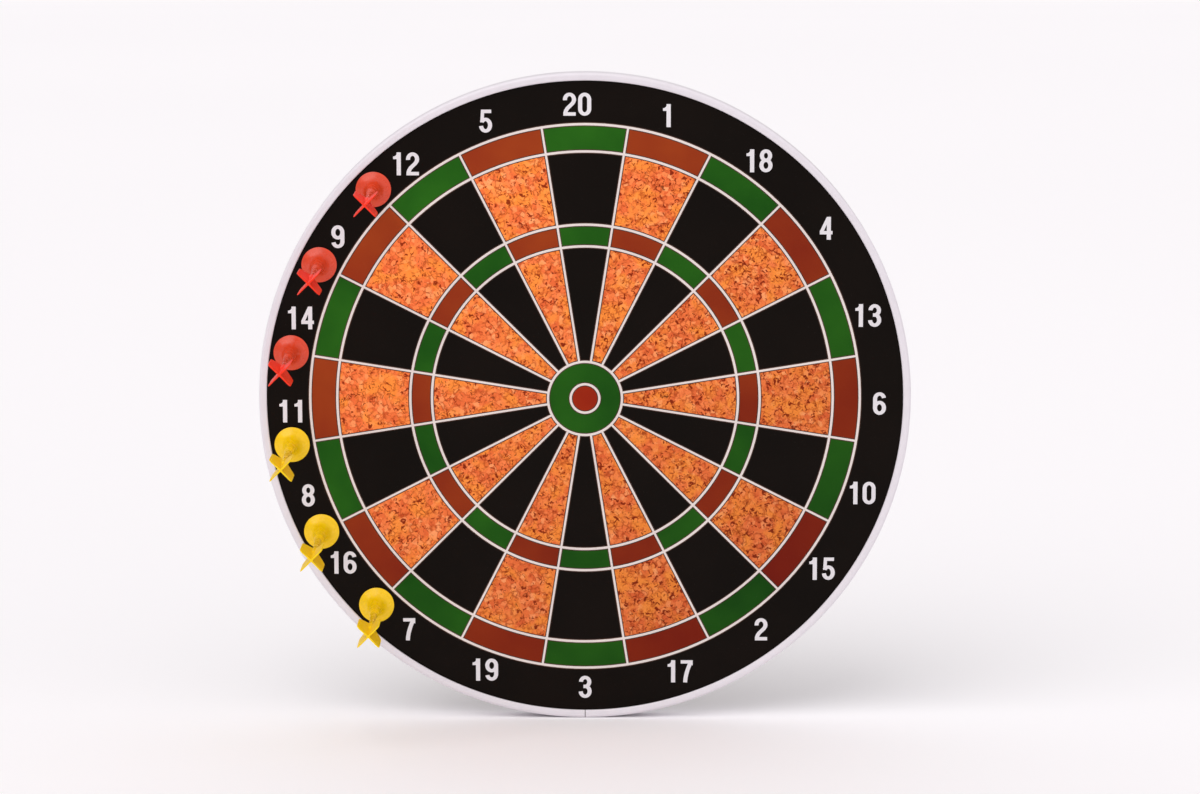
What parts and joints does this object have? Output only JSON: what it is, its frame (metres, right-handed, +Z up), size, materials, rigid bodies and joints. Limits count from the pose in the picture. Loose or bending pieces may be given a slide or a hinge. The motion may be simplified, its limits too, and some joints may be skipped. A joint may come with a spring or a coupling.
{
  "type": "magnetic dartboard",
  "caption": "Round wall-hung dartboard with a printed steel face, a pale rim and a hanging ring on its back, and darts with trumpet-shaped magnetic tips that pull straight off the face.",
  "frame": {"origin": "the point inside the top of the hanging ring where a hook carries the board", "axes": "+Z up, -Y out of the playing face towards the player, +Y to the wall, +X to the player's right"},
  "size_m": [0.4, 0.118, 0.4],
  "materials": {
    "rim_plastic": "satin pale grey-white moulded edging",
    "printed_film": "printed laminate: black, cork pattern, green and brown-red fields, pale lines and numbers",
    "sheet_steel": "thin bright tinplate",
    "fibreboard": "raw fibreboard",
    "backing_card": "grey-brown card",
    "zinc_steel": "bright zinc plate",
    "rubber": "matt black",
    "magnet": "nickel-grey magnet",
    "red_barrel": "glossy moulded red",
    "red_flight": "satin bright red",
    "yellow_barrel": "glossy moulded yellow",
    "yellow_flight": "satin yellow"
  },
  "bodies": {
    "board": {"rim": "rim_plastic", "print_film": "printed_film", "steel_sheet": "sheet_steel", "core_board": "fibreboard", "back_sheet": "backing_card", "hanger_strap": "zinc_steel", "hanger_screw_1": "zinc_steel", "hanger_screw_2": "zinc_steel", "bumper_1": "rubber", "bumper_2": "rubber", "bumper_3": "rubber", "bumper_4": "rubber"},
    "ring": {"hanger_ring": "zinc_steel"},
    "dart_1": {"dart_1_barrel": "red_barrel", "dart_1_flight": "red_flight", "dart_1_magnet": "magnet"},
    "dart_2": {"dart_2_barrel": "red_barrel", "dart_2_flight": "red_flight", "dart_2_magnet": "magnet"},
    "dart_3": {"dart_3_barrel": "red_barrel", "dart_3_flight": "red_flight", "dart_3_magnet": "magnet"},
    "dart_4": {"dart_4_barrel": "yellow_barrel", "dart_4_flight": "yellow_flight", "dart_4_magnet": "magnet"},
    "dart_5": {"dart_5_barrel": "yellow_barrel", "dart_5_flight": "yellow_flight", "dart_5_magnet": "magnet"},
    "dart_6": {"dart_6_barrel": "yellow_barrel", "dart_6_flight": "yellow_flight", "dart_6_magnet": "magnet"}
  },
  "joints": [
    {"name": "ring_swing", "type": "hinge", "parent": "board", "child": "ring", "pos_m": [0, 0.00077, -0.01473], "axis": [-1, 0, 0], "range_deg": [0, 165]},
    {"name": "dart_1_pull", "type": "slide", "parent": "board", "child": "dart_1", "axis": [0, -1, 0], "range_m": [0, 0.12]},
    {"name": "dart_2_pull", "type": "slide", "parent": "board", "child": "dart_2", "axis": [0, -1, 0], "range_m": [0, 0.12]},
    {"name": "dart_3_pull", "type": "slide", "parent": "board", "child": "dart_3", "axis": [0, -1, 0], "range_m": [0, 0.12]},
    {"name": "dart_4_pull", "type": "slide", "parent": "board", "child": "dart_4", "axis": [0, -1, 0], "range_m": [0, 0.12]},
    {"name": "dart_5_pull", "type": "slide", "parent": "board", "child": "dart_5", "axis": [0, -1, 0], "range_m": [0, 0.12]},
    {"name": "dart_6_pull", "type": "slide", "parent": "board", "child": "dart_6", "axis": [0, -1, 0], "range_m": [0, 0.12]}
  ]
}
